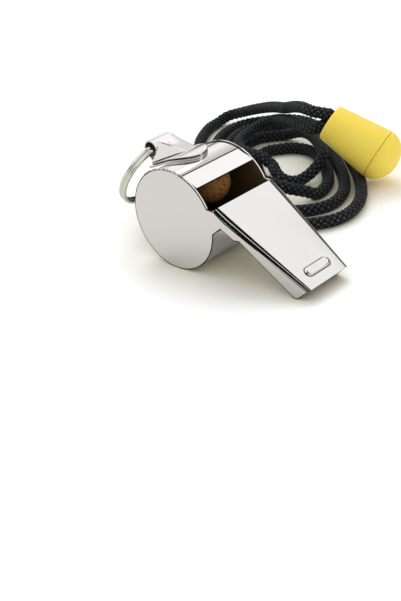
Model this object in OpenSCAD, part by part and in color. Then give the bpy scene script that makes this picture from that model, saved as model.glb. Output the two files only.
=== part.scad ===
// Pea whistle of folded sheet metal, with a split ring and a braided lanyard.
// The whistle rests on the drum and on the lower corner of the mouthpiece.
// Shapes of the whistle are drawn in its own axes: u along the mouthpiece, v up from the drum's axis.

/* [Drum] */
// Outside diameter of the side plates' discs
drum_d = 23; // [21:0.5:26]
// Width over both side plates
drum_w = 19; // [17:0.5:22]
// Thickness of the sheet metal
sheet_t = 0.5; // [0.4:0.05:0.6]
// How far the side plates stand proud of the band
rim_h = 0.25; // [0.15:0.05:0.35]
// Body angle at which the rear lip leaves the band
lip_deg = 104; // [100:1:108]
// Body angle at which the front wall leaves the band
wall_deg = 29.6; // [27:0.2:31]

/* [Window] */
// Distance of the window's rear edge from the drum's axis, along the mouthpiece
window_rear = 1.6; // [1.2:0.1:2.4]
// Length of the window along the mouthpiece
window_l = 6; // [5:0.25:6.5]

/* [Mouthpiece] */
// Reach of the mouthpiece's lower corner in front of the drum's axis
mouth_l = 31.15; // [28:0.25:36]
// Height of the top plate above the drum's axis
top_v = 11.3; // [11.1:0.1:11.8]
// Drop of the cover's shoulders below the top plate
shoulder_h = 0.65; // [0.5:0.05:0.8]
// Inset of the top plate's edge from the side, at the window
shoulder_w = 1.43; // [1.1:0.05:1.8]
// Inset of the top plate's edge from the side, at the tip
shoulder_tip_w = 0.75; // [0.6:0.05:1]
// Width of the mouthpiece at its tip
tip_w = 13; // [11:0.5:15]
// Radius of the tip's lower corner
corner_r = 1.2; // [0.8:0.1:1.5]
// Depth of the mouthpiece from the top plate to the corner's centre
tip_depth = 3.22; // [2.9:0.1:3.5]
// Slope of the mouthpiece's underside, in degrees
belly_deg = 8.6; // [7:0.2:10]
// Rake of the tip's face, in degrees
rake_deg = 14; // [8:1:20]
// Height of the slit that the air leaves by
slit_h = 0.75; // [0.6:0.05:1]
// Length of the raised tooth grip, across the plate
grip_l = 7.6; // [6:0.2:8.5]
// Width of the tooth grip
grip_w = 2.2; // [1.8:0.1:2.6]
// Height of the tooth grip
grip_h = 0.5; // [0.3:0.05:0.7]
// Distance of the tooth grip's middle from the tip's top edge
grip_back = 3.5; // [3:0.1:5]

/* [Bail] */
// Width of the strap on the drum
strap_w = 10; // [8:0.5:12]
// Body angle of the strap's rounded front end
strap_front_deg = 118; // [114:1:124]
// Width of the rolled eye
eye_w = 6.2; // [5:0.2:7]
// Bore of the rolled eye
eye_bore = 2.9; // [2.8:0.1:3.2]
// Distance of the eye's centre from the drum's axis
eye_reach = 16.2; // [15.8:0.1:17]
// Body angle of the eye's centre
eye_deg = 166.7; // [165:0.5:168]

/* [Split ring] */
// Mean diameter of the split ring
ring_d = 17; // [16:0.5:20]
// Diameter of its wire
wire_d = 1; // [0.9:0.05:1.05]
// Angle that the ring hangs back from plumb
ring_back_deg = 30; // [26:1:34]

/* [Pea] */
// Diameter of the cork pea
pea_d = 10; // [9:0.25:10.25]
// Clearance between the pea and the band
pea_gap = 0.3; // [0.2:0.05:0.4]
// Angle round the drum's axis at which the pea lies, from level
pea_deg = 76; // [70:1:90]
// Sideways place of the pea
pea_y = 1.1; // [0:0.1:2]

/* [Lanyard] */
// Diameter of the braided cord
cord_d = 2.9; // [2.6:0.05:2.95]
// Outside diameter of the bell's mouth end
bell_mouth_d = 9; // [8.8:0.1:9.6]
// Outside diameter of the bell at its seam
bell_seam_d = 12.6; // [12.2:0.1:13]
// Length of the bell from its mouth to the seam
bell_l = 14; // [13.5:0.5:16]
// Wall of the bell and its lid
bell_wall = 1.2; // [1:0.05:1.3]
// Bore of the bell's mouth
bell_bore = 6.4; // [6.1:0.1:6.6]
// Height of the lid's dome
lid_h = 5.4; // [4.6:0.2:6]
// Length of the collar that plugs the lid into the bell
collar_l = 3; // [2.5:0.25:3.5]

/* [Hidden] */
$fn = 64;
chrome = [0.82, 0.82, 0.81];
overrun = 5;
slice_l = 0.01;
// Angle by which the lip and the front wall run into the band
root_deg = 3;

// Drum
drum_r = drum_d / 2;
band_r = drum_r - rim_h;
chamber_r = band_r - sheet_t;
root_r = band_r - sheet_t / 2;
half_w = drum_w / 2;
inner_half_w = half_w - sheet_t;

// Mouthpiece, seen from the side
window_front = window_rear + window_l;
side_top = top_v - shoulder_h;
corner_v = top_v - tip_depth;
belly_start = [mouth_l - corner_r * sin(belly_deg), corner_v - corner_r * cos(belly_deg)];
face_start = [mouth_l + corner_r * cos(rake_deg), corner_v - corner_r * sin(rake_deg)];
tip_u = face_start[0] + (top_v - face_start[1]) * tan(rake_deg);
side_tip_u = tip_u - shoulder_h * tan(rake_deg);
wall_foot = [band_r * cos(wall_deg), band_r * sin(wall_deg)];
notch_foot = drum_r * [cos(wall_deg), sin(wall_deg)];
// The notch's top corner, where the mouthpiece's sides fold inwards
notch_rise = 2.9;
fold_u = notch_foot[0] + 0.31 * notch_rise;
notch_v = notch_foot[1] + notch_rise;
// The web under the notch, its jog up to the belly and the belly's line
web_l = 3.6;
web_fall = 0.18;
jog_l = 1.1;
jog_end = 2.1;
function belly_v(u) = belly_start[1] + (belly_start[0] - u) * tan(belly_deg);
bend_u = fold_u + web_l + jog_l;
floor_back_u = window_front + 0.4 * sheet_t;
floor_back_v = top_v - 2 * sheet_t - slit_h;
tilt = atan2(corner_v, mouth_l) + asin((drum_r - corner_r) / norm([mouth_l, corner_v]));

// Mouthpiece, seen from above
taper = atan2(half_w - tip_w / 2, tip_u - fold_u);
function outer_y(u) = half_w - (u - fold_u) * tan(taper);
function inner_y(u) = outer_y(u) - sheet_t / cos(taper);
fold_inner_u = fold_u - sheet_t * tan(taper / 2);
function plate_y(u) = lookup(u, [
    [window_front, half_w - shoulder_w],
    [tip_u, tip_w / 2 - shoulder_tip_w]]);

// Bail and ring
strap_r = band_r + 2 * sheet_t;
leave_deg = 145;
eye_r = eye_bore / 2 + sheet_t;
eye_c = eye_reach * [cos(eye_deg), sin(eye_deg)];
ramp_deg = 137;
ramp_near_y = 1;
// The strap leaves the drum on a tangent; its neck is where the eye starts
function on_tangent(r, deg) = r / cos(deg - leave_deg) * [cos(deg), sin(deg)];
crotch = on_tangent(strap_r, 167.5);
neck = on_tangent(band_r, 174);
ring_r = ring_d / 2;
ring_stack = 0.95 * wire_d;
ring_sag = ring_r - sqrt(ring_r * ring_r - eye_w * eye_w / 4);
eye_world = [eye_c[0] * cos(tilt) + eye_c[1] * sin(tilt), drum_r - eye_c[0] * sin(tilt) + eye_c[1] * cos(tilt)];
hang = [-sin(ring_back_deg), -cos(ring_back_deg)];
ring_c = eye_world + (ring_r - ring_sag / 2) * hang;
ring_back_x = ring_c[0] - ring_r * sin(ring_back_deg) - ring_stack / 2 * cos(ring_back_deg) - wire_d / 2;
tip_x = tip_u * cos(tilt) + top_v * sin(tilt);
// Middle of the whistle and its ring, end to end
centre_x = (tip_x + ring_back_x) / 2;

pea_orbit = chamber_r - pea_gap - pea_d / 2;

// Bell, lying on the outer loop with its mouth up on the cords
bell_mouth_r = bell_mouth_d / 2;
bell_seam_r = bell_seam_d / 2;
bell_pitch = 31.1;
bell_yaw = 16.3;
bell_lift = 1.5;
bell_seam = [10.9, 50.1, norm([bell_seam_r * cos(bell_pitch), lid_h * sin(bell_pitch)]) + bell_lift];
bell_dir = [cos(bell_pitch) * cos(bell_yaw), cos(bell_pitch) * sin(bell_yaw), -sin(bell_pitch)];
bell_up = [sin(bell_pitch) * cos(bell_yaw), sin(bell_pitch) * sin(bell_yaw), cos(bell_pitch)];
bell_mouth = bell_seam - bell_l * bell_dir;
socket_r = bell_seam_r - bell_wall;
collar_clearance = 0.08;
seam_gap = 0.1;
lip_l = 1.2;
rim_r = 0.5;
function bell_r(z) = bell_mouth_r + (bell_seam_r - bell_mouth_r) * z / bell_l;
knot_ring_r = 2.5;
knot_z = 6;
cord_split = 0.56 * cord_d;
cord_in = 4;
cord_out = 1;

// Places of the lanyard, chosen by hand: from the bell over the outer arc, through the ring and back
arc_route = [
    [-5, 45.9, 17], [-9.5, 47.6, 16.7], [-15, 51, 14.9], [-21, 54.5, 12.5], [-27.5, 58, 10.5], [-33, 61, 8.5],
    [-38.5, 63, 6.5], [-42.5, 64, 5], [-46.5, 64.5, 3.5], [-49.5, 63, 2.5], [-50.5, 60, 1.5],
    [-49.5, 55, 1.5], [-46, 48, 1.5], [-41, 41, 1.5], [-36, 32, 1.5], [-31, 23, 1.5], [-27.5, 16, 2],
    [-26, 11, 4], [-25, 7.5, 7.5], [-23, 5, 11], [-20, 4, 12.5], [-17, 4, 11.5], [-15.5, 5, 8.5],
    [-16, 7, 5], [-18, 11, 2.5], [-21, 17, 1.5], [-25, 25, 1.5], [-29, 32, 1.5], [-32.5, 38, 1.5]];
// From the loops up over them and into the bell
end_route = [
    [-17, 39.5, 5], [-20.5, 39.5, 5.2], [-24, 40, 5.2], [-27, 42.3, 5.2], [-29.5, 46, 5.2], [-30.7, 50.5, 5.2],
    [-30.5, 55, 5.8],
    [-27, 57, 7.3], [-21, 54.5, 9.2], [-15, 51, 10.7], [-9.3, 47.5, 11.7], [-5.4, 45.9, 12.3]];

// Piled loops: quarter turns between half-axes that shrink from loop to loop
loops_c = [-12, 43];
loops_deg = -42;
loops_reach = 36.5;
loops_share = [0.485, 1, 0.45, 0.925, 0.39, 0.88, 0.355, 0.715, 0.195, 0.385, 0.26, 0.505, 0.297, 0.66, 0.25,
    0.23, 0.1];
loops_start = 0.27;
loops_end = len(loops_share) - 1;
loops_square = 0.75;
rings_per_loop = 24;
cord_lift = 0.05;
cross_h = 1.45 * cord_d;

// Quarter q runs from one half-axis to the next; even ones start on the near side
function bow(a) = pow(max(a, 0), loops_square);
// The two crossings, each a long low hump, and the rise at the end
function hump(t, from, to) = t > from && t < to ? cross_h * sin(180 * (t - from) / (to - from)) : 0;
function loops_z(t) = cord_d / 2 + cord_lift + hump(t, 10.8, 12.1) + hump(t, 13.2, 14.9)
    + (t > 15 ? cross_h / 2 * (t - 15) : 0);
function loops_at(t) =
    let (q = min(floor(t), loops_end - 1), a = 90 * (t - q),
        from = loops_share[q] * loops_reach * bow(cos(a)),
        to = loops_share[q + 1] * loops_reach * bow(sin(a)),
        way = q % 4,
        p = way == 0 ? -to : way == 1 ? -from : way == 2 ? to : from,
        s = way == 0 ? -from : way == 1 ? to : way == 2 ? from : -to)
    [loops_c[0] + p * cos(loops_deg) - s * sin(loops_deg),
        loops_c[1] + p * sin(loops_deg) + s * cos(loops_deg), loops_z(t)];
loops_path = [for (i = [0 : 1 : floor((loops_end - loops_start) / 4 * rings_per_loop)])
    loops_at(min(loops_end, loops_start + i * 4 / rings_per_loop))];

// A tube swept along points: one closed polyhedron of triangles
function unit(v) = v / norm(v);
function way_at(path, i) = unit(path[min(i + 1, len(path) - 1)] - path[max(i - 1, 0)]);
function ring_at(c, dir, r, sides) =
    let (side = unit(cross(dir, [0, 0, 1])), up = cross(side, dir))
    [for (k = [0 : sides - 1]) c + r * (cos(360 * k / sides) * side + sin(360 * k / sides) * up)];
module tube(path, r, sides) {
    last = len(path) - 1;
    points = [for (i = [0 : last]) each ring_at(path[i], way_at(path, i), r, sides)];
    walls = [for (i = [0 : last - 1], k = [0 : sides - 1])
        let (a = i * sides + k, b = i * sides + (k + 1) % sides)
        each [[a, b, a + sides], [b, b + sides, a + sides]]];
    caps = [for (k = [1 : sides - 2])
        each [[0, k + 1, k], [last * sides, last * sides + k, last * sides + k + 1]]];
    polyhedron(points, concat(walls, caps));
}

// Least gap between strands of the loops, six or more rings apart
loops_gap = min([for (i = [0 : len(loops_path) - 7], j = [i + 6 : len(loops_path) - 1])
    norm(loops_path[i] - loops_path[j])]) - cord_d;
echo(loops_gap = loops_gap);

// Frame
module placed() {
    translate([-centre_x, 0, 0]) children();
}
module on_body() {
    placed() translate([0, 0, drum_r]) rotate([0, tilt, 0]) children();
}
// Extrudes a side view over a span of widths
module across(y0, y1) {
    translate([0, y1, 0]) rotate([90, 0, 0]) linear_extrude(y1 - y0) children();
}

// Side view of the mouthpiece's side with the web that joins it to the disc
module side_view() {
    translate([mouth_l, corner_v]) circle(r = corner_r);
    polygon([
        [0, 0], notch_foot, [fold_u, notch_v],
        [fold_u + web_l, notch_v - web_fall],
        [bend_u - 0.3 * jog_l, belly_v(bend_u) - 0.6 * sheet_t],
        [bend_u, belly_v(bend_u)],
        belly_start, [mouth_l, corner_v], face_start, [side_tip_u, side_top],
        [window_front - 0.4 * sheet_t, side_top],
        [window_front - jog_end + sheet_t, drum_r * 0.852]]);
}

// Plan of one bent side plate, on the near side
module side_plan() {
    far_u = tip_u + overrun;
    polygon([
        [-drum_r - overrun, -half_w], [fold_u, -half_w], [far_u, -outer_y(far_u)],
        [far_u, -inner_y(far_u)], [fold_inner_u, -inner_half_w], [-drum_r - overrun, -inner_half_w]]);
}

module side_plate() {
    across(-half_w, -inner_half_w) circle(r = drum_r, $fn = 96);
    intersection() {
        across(-half_w - overrun, half_w + overrun) side_view();
        translate([0, 0, -drum_r - overrun]) linear_extrude(2 * drum_r + 2 * overrun) side_plan();
    }
}

module side_plate_left() {
    color(chrome) on_body() side_plate();
}

module side_plate_right() {
    color(chrome) on_body() mirror([0, 1, 0]) side_plate();
}

// Band round the drum, open from the rear lip to the front wall
module band_view() {
    mid_deg = (lip_deg + wall_deg) / 2;
    difference() {
        circle(r = band_r, $fn = 96);
        circle(r = chamber_r, $fn = 96);
        polygon([[0, 0], 2 * drum_r * [cos(wall_deg), sin(wall_deg)],
            2 * drum_r * [cos(mid_deg), sin(mid_deg)], 2 * drum_r * [cos(lip_deg), sin(lip_deg)]]);
    }
}

// Flat lip from the band to the window's rear edge
module lip_view() {
    end = [window_rear, drum_r + 0.3 * sheet_t];
    polygon([
        chamber_r * [cos(lip_deg), sin(lip_deg)], root_r * [cos(lip_deg + root_deg), sin(lip_deg + root_deg)],
        band_r * [cos(lip_deg), sin(lip_deg)], end, end - [0, sheet_t]]);
}

// Front wall from the band up to the windway's floor
module wall_view() {
    top_u = fold_u - 0.2 * sheet_t;
    polygon([
        chamber_r * [cos(wall_deg), sin(wall_deg)], root_r * [cos(wall_deg - root_deg), sin(wall_deg - root_deg)],
        wall_foot, [top_u, floor_v(top_u)], [top_u - sheet_t, floor_v(top_u - sheet_t)]]);
}

module drum_band() {
    color(chrome) on_body() {
        across(-inner_half_w, inner_half_w) band_view();
        across(-inner_half_w, inner_half_w) lip_view();
        across(-inner_half_w, inner_half_w) wall_view();
    }
}

// Underside of the windway's floor
function floor_v(u) = u > bend_u ? belly_v(u)
    : belly_v(bend_u) + (floor_back_v - belly_v(bend_u)) * (bend_u - u) / (bend_u - floor_back_u);

module windway_floor() {
    far_u = tip_u + overrun;
    color(chrome) on_body() intersection() {
        across(-half_w, half_w) intersection() {
            union() {
                side_view();
                square([bend_u, top_v]);
            }
            polygon([
                [floor_back_u, floor_back_v], [bend_u, belly_v(bend_u)], [far_u, belly_v(far_u)],
                [far_u, belly_v(far_u) + sheet_t], [bend_u, belly_v(bend_u) + sheet_t],
                [floor_back_u, floor_back_v + sheet_t]]);
        }
        linear_extrude(top_v) polygon([
            [0, -inner_half_w], [fold_inner_u, -inner_half_w], [far_u, -inner_y(far_u)],
            [far_u, inner_y(far_u)], [fold_inner_u, inner_half_w], [0, inner_half_w]]);
    }
}

// Thin slice of one shoulder: down and out from the top plate to the side plate's edge
module shoulder_slice(u) {
    edge = plate_y(u);
    side = u > fold_u ? outer_y(u) : half_w;
    inner = u > fold_u ? inner_y(u) : inner_half_w;
    translate([u, 0, 0]) rotate([90, 0, 90]) linear_extrude(slice_l) polygon([
        [edge - sheet_t, top_v], [edge, top_v], [side - sheet_t / 2, top_v - 0.46 * shoulder_h],
        [side, side_top], [inner, side_top], [edge, top_v - sheet_t], [edge - sheet_t, top_v - sheet_t]]);
}

module shoulder() {
    hull() {
        shoulder_slice(window_front);
        shoulder_slice(fold_u);
    }
    hull() {
        shoulder_slice(fold_u);
        shoulder_slice(tip_u - slice_l);
    }
}

module grip_end() {
    cylinder(grip_h + sheet_t / 2, d1 = grip_w, d2 = grip_w - grip_h, $fn = 32);
}

module mouthpiece_cover() {
    grip_u = tip_u - grip_back;
    grip_half = grip_l / 2 - grip_w / 2;
    color(chrome) on_body() {
        difference() {
            union() {
                translate([0, 0, top_v - sheet_t]) linear_extrude(sheet_t) polygon([
                    [window_front, -plate_y(window_front)], [tip_u, -plate_y(tip_u)],
                    [tip_u, plate_y(tip_u)], [window_front, plate_y(window_front)]]);
                shoulder();
                mirror([0, 1, 0]) shoulder();
            }
            across(-half_w - overrun, half_w + overrun) polygon([
                [tip_u, top_v], [tip_u - top_v * tan(rake_deg), 0], [tip_u + overrun, 0],
                [tip_u + overrun, top_v]]);
        }
        translate([grip_u, 0, top_v - sheet_t / 2]) hull() {
            translate([0, -grip_half, 0]) grip_end();
            translate([0, grip_half, 0]) grip_end();
        }
    }
}

// Corners where a line from p touches a circle
function touch(c, r, p, turn) =
    let (d = p - c, a = atan2(d[1], d[0]) + turn * acos(r / norm(d)))
    c + r * [cos(a), sin(a)];

module strap_view() {
    leave_in = band_r * [cos(leave_deg), sin(leave_deg)];
    leave_out = strap_r * [cos(leave_deg), sin(leave_deg)];
    intersection() {
        difference() {
            circle(r = strap_r, $fn = 96);
            circle(r = band_r, $fn = 96);
        }
        polygon([[0, 0], 2 * strap_r * [cos(strap_front_deg), sin(strap_front_deg)],
            2 * strap_r * [cos(leave_deg), sin(leave_deg)]]);
    }
    polygon([leave_in, leave_out, crotch, neck]);
}

module eye_view() {
    translate(eye_c) circle(r = eye_r);
    polygon([crotch, touch(eye_c, eye_r, crotch, 1), eye_c, touch(eye_c, eye_r, neck, -1), neck]);
}

// Pressed ramp from the top of the eye down to the strap
module ramp_view() {
    ramp_end = strap_r * [cos(ramp_deg), sin(ramp_deg)];
    polygon([touch(eye_c, eye_r, ramp_end, 1), eye_c, crotch, on_tangent(root_r + sheet_t, 155),
        (root_r + sheet_t) * [cos(leave_deg), sin(leave_deg)], (root_r + sheet_t) * [cos(ramp_deg), sin(ramp_deg)],
        ramp_end]);
}

module bail() {
    end_deg = strap_front_deg + asin(strap_w / 2 / strap_r);
    color(chrome) on_body() difference() {
        union() {
            intersection() {
                across(-strap_w / 2, strap_w / 2) strap_view();
                union() {
                    rotate([0, 90 - end_deg, 0]) cylinder(strap_r + overrun, d = 1.02 * strap_w);
                    rotate([0, -end_deg, 0]) translate([0, -strap_w, 0])
                        cube([strap_r + overrun, 2 * strap_w, strap_r + overrun]);
                }
            }
            across(-eye_w / 2, eye_w / 2) eye_view();
            across(-ramp_near_y, eye_w / 2) ramp_view();
        }
        translate([eye_c[0], eye_w / 2 + overrun, eye_c[1]]) rotate([90, 0, 0])
            cylinder(eye_w + 2 * overrun, d = eye_bore);
    }
}

module split_ring() {
    color(chrome) placed() translate([ring_c[0], 0, ring_c[1]]) rotate([0, 90 + ring_back_deg, 0])
        rotate_extrude() {
            translate([ring_r, ring_stack / 2]) circle(d = wire_d, $fn = 24);
            translate([ring_r, -ring_stack / 2]) circle(d = wire_d, $fn = 24);
        }
}

module cork_pea() {
    color([0.55, 0.36, 0.2]) placed()
        translate([pea_orbit * cos(pea_deg), pea_y, drum_r + pea_orbit * sin(pea_deg)]) sphere(d = pea_d);
}

module lanyard_arc() {
    start = bell_mouth + cord_split * bell_up;
    path = concat([start + cord_in * bell_dir, start - cord_out * bell_dir], arc_route, [loops_at(loops_start)]);
    color([0.08, 0.08, 0.09]) placed() tube(path, cord_d / 2, 8);
}

module lanyard_loops() {
    color([0.08, 0.08, 0.09]) placed() tube(loops_path, cord_d / 2, 6);
}

module lanyard_end() {
    stop = bell_mouth - cord_split * bell_up;
    path = concat([loops_path[len(loops_path) - 1]], end_route,
        [stop - cord_out * bell_dir, stop + cord_in * bell_dir]);
    color([0.08, 0.08, 0.09]) placed() tube(path, cord_d / 2, 8);
}

// Bell's own axes: z from the mouth to the seam
module on_bell() {
    placed() translate(bell_mouth) rotate([0, 90 + bell_pitch, bell_yaw]) children();
}

// Knot: two turns of the cord round a core
module cord_knot() {
    color([0.08, 0.08, 0.09]) on_bell() translate([0, 0, knot_z]) rotate_extrude() {
        for (side = [-1, 1]) translate([knot_ring_r, side * cord_d / 2]) circle(d = cord_d, $fn = 24);
        translate([0, -cord_d]) square([knot_ring_r, 2 * cord_d]);
    }
}

module cord_end_bell() {
    socket_z = bell_l - collar_l - seam_gap;
    color([0.95, 0.8, 0.3]) on_bell() rotate_extrude() {
        translate([bell_mouth_r - rim_r, rim_r]) circle(r = rim_r);
        polygon([
            [bell_bore / 2, 0], [bell_mouth_r - rim_r, 0], [bell_mouth_r - rim_r, rim_r],
            [bell_r(rim_r), rim_r], [bell_seam_r, bell_l], [socket_r, bell_l], [socket_r, socket_z],
            [bell_r(socket_z) - bell_wall, socket_z], [bell_r(lip_l) - bell_wall, lip_l],
            [bell_bore / 2, lip_l]]);
    }
}

// Dome with the collar that plugs into the bell
module cord_end_lid() {
    collar_r = socket_r - collar_clearance;
    dome_k = (lid_h - seam_gap) / bell_seam_r;
    steps = 12;
    color([0.95, 0.8, 0.3]) on_bell() translate([0, 0, bell_l + seam_gap]) {
        rotate_extrude() polygon(concat(
            [for (i = [0 : steps]) let (a = 90 * i / steps)
                bell_seam_r * [cos(a), dome_k * sin(a)]],
            [for (i = [steps : -1 : 0]) let (a = 90 * i / steps)
                (bell_seam_r - bell_wall) * [cos(a), dome_k * sin(a)]]));
        difference() {
            translate([0, 0, -collar_l]) cylinder(collar_l + bell_wall, r = collar_r);
            translate([0, 0, -collar_l - overrun])
                cylinder(collar_l + 2 * overrun, r = collar_r - bell_wall);
        }
    }
}

side_plate_left();
side_plate_right();
drum_band();
mouthpiece_cover();
windway_floor();
bail();
split_ring();
cork_pea();
lanyard_arc();
lanyard_loops();
lanyard_end();
cord_knot();
cord_end_bell();
cord_end_lid();
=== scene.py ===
import math

import bmesh
import bpy
import numpy as np
from mathutils import Matrix, Vector


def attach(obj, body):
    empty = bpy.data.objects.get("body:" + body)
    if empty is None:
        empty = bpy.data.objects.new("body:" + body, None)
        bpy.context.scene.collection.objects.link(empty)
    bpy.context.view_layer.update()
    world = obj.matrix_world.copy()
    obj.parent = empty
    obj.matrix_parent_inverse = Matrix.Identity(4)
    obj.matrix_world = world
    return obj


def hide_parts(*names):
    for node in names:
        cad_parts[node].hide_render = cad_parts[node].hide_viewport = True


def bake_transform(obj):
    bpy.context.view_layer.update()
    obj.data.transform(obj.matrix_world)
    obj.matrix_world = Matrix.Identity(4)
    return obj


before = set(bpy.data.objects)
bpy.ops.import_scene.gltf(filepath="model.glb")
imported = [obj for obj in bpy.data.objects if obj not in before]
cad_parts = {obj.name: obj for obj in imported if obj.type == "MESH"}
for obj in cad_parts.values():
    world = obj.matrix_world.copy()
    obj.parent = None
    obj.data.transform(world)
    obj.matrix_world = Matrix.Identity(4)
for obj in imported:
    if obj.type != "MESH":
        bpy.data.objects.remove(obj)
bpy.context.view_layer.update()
scene = bpy.context.scene
mm = 0.001
middle = 6.7717  # mm, from the drum's axis to the middle of the whistle and its ring
drumHeight = 11.5  # mm, the drum's axis above the floor
hair = 0.02  # mm, what keeps two sheets from lying in one plane
tilt = 33.2084  # degrees, the mouthpiece's fall towards the floor


# Places: route points are in mm from the drum's axis, as in the source
def place(point):
    return Vector((point[0] - middle, point[1], point[2])) * mm


def onBody(along, across, rise):
    turn = math.radians(tilt)
    return place((along * math.cos(turn) + rise * math.sin(turn), across,
                  drumHeight - along * math.sin(turn) + rise * math.cos(turn)))


cameraLook = {
    "azimuth": 45.774, "elevation": 28.62, "roll": -6.336, "distance": 250.0,
    "aim": (0.0, 0.0, 11.5), "slideRight": -0.504, "slideUp": -21.066, "lens": 68.526,
    "film": 36.0, "near": 0.005, "far": 20.0,
}


def addCamera(look):
    azimuth, elevation, roll = (math.radians(look[k]) for k in ("azimuth", "elevation", "roll"))
    back = Vector((math.sin(azimuth) * math.cos(elevation), -math.cos(azimuth) * math.cos(elevation),
                   math.sin(elevation)))
    level = Vector((math.cos(azimuth), math.sin(azimuth), 0))
    upright = back.cross(level)
    right = level * math.cos(roll) + upright * math.sin(roll)
    up = upright * math.cos(roll) - level * math.sin(roll)
    spot = Vector(look["aim"]) + back * look["distance"] + right * look["slideRight"] + up * look["slideUp"]
    camera = bpy.data.objects.new("camera", bpy.data.cameras.new("camera"))
    scene.collection.objects.link(camera)
    turn = Matrix((right, up, back)).transposed().to_4x4()
    camera.matrix_world = Matrix.Translation(place(spot)) @ turn
    camera.data.lens = look["lens"]
    camera.data.sensor_width = look["film"]
    camera.data.clip_start = look["near"]
    camera.data.clip_end = look["far"]
    scene.camera = camera


addCamera(cameraLook)
print("camera placed")


# Small helpers for node trees
def addTree(name, sizes):
    tree = bpy.data.node_groups.new(name, "GeometryNodeTree")
    tree.interface.new_socket("Geometry", in_out="INPUT", socket_type="NodeSocketGeometry")
    tree.interface.new_socket("Geometry", in_out="OUTPUT", socket_type="NodeSocketGeometry")
    for label, kind in sizes:
        tree.interface.new_socket(label, in_out="INPUT", socket_type="NodeSocket" + kind)
    return tree, tree.nodes.new("NodeGroupInput"), tree.nodes.new("NodeGroupOutput")


def addNode(tree, kind, inputs=None, **settings):
    node = tree.nodes.new(kind)
    for key, value in settings.items():
        setattr(node, key, value)
    for key, value in (inputs or {}).items():
        feed(tree, value, node.inputs[key])
    return node


def feed(tree, value, socket):
    if isinstance(value, bpy.types.NodeSocket):
        tree.links.new(value, socket)
    else:
        socket.default_value = value


def calc(tree, operation, *values):
    return addNode(tree, "ShaderNodeMath", dict(enumerate(values)), operation=operation).outputs[0]


def finishTree(tree, geometry, output, material):
    made = addNode(tree, "GeometryNodeRealizeInstances", {"Geometry": geometry})
    dressed = addNode(tree, "GeometryNodeSetMaterial", {"Geometry": made.outputs[0], "Material": material})
    tree.links.new(dressed.outputs[0], output.inputs[0])


def grow(name, mesh, tree, values):
    piece = bpy.data.objects.new(name, mesh)
    scene.collection.objects.link(piece)
    modifier = piece.modifiers.new(tree.name, "NODES")
    modifier.node_group = tree
    for item in tree.interface.items_tree:
        if item.item_type == "SOCKET" and item.in_out == "INPUT" and item.name in values:
            modifier[item.identifier] = values[item.name]
    return settle(piece)


def settle(piece):
    bpy.context.view_layer.update()
    depsgraph = bpy.context.evaluated_depsgraph_get()
    mesh = bpy.data.meshes.new_from_object(piece.evaluated_get(depsgraph), preserve_all_data_layers=True,
                                           depsgraph=depsgraph)
    piece.modifiers.clear()
    piece.data = mesh
    return piece


def lineMesh(name, points):
    mesh = bpy.data.meshes.new(name)
    mesh.from_pydata([tuple(p) for p in points], [(i, i + 1) for i in range(len(points) - 1)], [])
    return mesh


def smoothLine(points, step, finer=12):
    points = np.array(points, float)
    padded = np.vstack([2 * points[0] - points[1], points, 2 * points[-1] - points[-2]])
    share = np.linspace(0, 1, finer, endpoint=False)[:, None]
    parts = []
    for a, b, c, d in zip(padded, padded[1:], padded[2:], padded[3:]):
        parts.append(0.5 * (2 * b + (c - a) * share + (2 * a - 5 * b + 4 * c - d) * share ** 2
                            + (3 * b - a - 3 * c + d) * share ** 3))
    line = np.vstack(parts + [points[-1:]])
    run = np.concatenate([[0], np.cumsum(np.linalg.norm(np.diff(line, axis=0), axis=1))])
    count = int(run[-1] / step) + 1
    spots = np.linspace(0, run[-1], count)
    return np.column_stack([np.interp(spots, run, line[:, k]) for k in range(line.shape[1])])


# Materials
def addMaterial(name):
    material = bpy.data.materials.new(name)
    material.use_nodes = True
    return material, material.node_tree, material.node_tree.nodes["Principled BSDF"]


def addEffect(name, inputs, outputs):
    group = bpy.data.node_groups.new(name, "ShaderNodeTree")
    for label, kind, value in inputs:
        socket = group.interface.new_socket(label, in_out="INPUT", socket_type="NodeSocket" + kind)
        if value is not None:
            socket.default_value = value
    for label, kind in outputs:
        group.interface.new_socket(label, in_out="OUTPUT", socket_type="NodeSocket" + kind)
    return group, group.nodes.new("NodeGroupInput"), group.nodes.new("NodeGroupOutput")


grainLook = {"fineDetail": 3.0, "fineRough": 0.6, "broadDetail": 4.0, "from": 0.35, "to": 0.7}


def buildGrainEffect(look):
    group, given, out = addEffect(
        "fineGrain",
        [("Vector", "Vector", None), ("Size", "Float", 3000.0), ("Smudge", "Float", 160.0),
         ("Low", "Float", 0.1), ("High", "Float", 0.2)],
        [("Height", "Float"), ("Roughness", "Float"), ("Smudge", "Float")])
    fine = addNode(group, "ShaderNodeTexNoise", {
        "Vector": given.outputs["Vector"], "Scale": given.outputs["Size"], "Detail": look["fineDetail"],
        "Roughness": look["fineRough"]})
    broad = addNode(group, "ShaderNodeTexNoise", {
        "Vector": given.outputs["Vector"], "Scale": given.outputs["Smudge"], "Detail": look["broadDetail"]})
    rough = addNode(group, "ShaderNodeMapRange", {
        "Value": broad.outputs["Fac"], "From Min": look["from"], "From Max": look["to"],
        "To Min": given.outputs["Low"], "To Max": given.outputs["High"]})
    group.links.new(fine.outputs["Fac"], out.inputs["Height"])
    group.links.new(rough.outputs[0], out.inputs["Roughness"])
    group.links.new(broad.outputs["Fac"], out.inputs["Smudge"])
    return group


grainEffect = buildGrainEffect(grainLook)


def objectPoint(tree, scale=(1, 1, 1)):
    coordinates = addNode(tree, "ShaderNodeTexCoord")
    mapping = addNode(tree, "ShaderNodeMapping", {"Vector": coordinates.outputs["Object"], "Scale": scale})
    return mapping.outputs[0]


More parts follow.
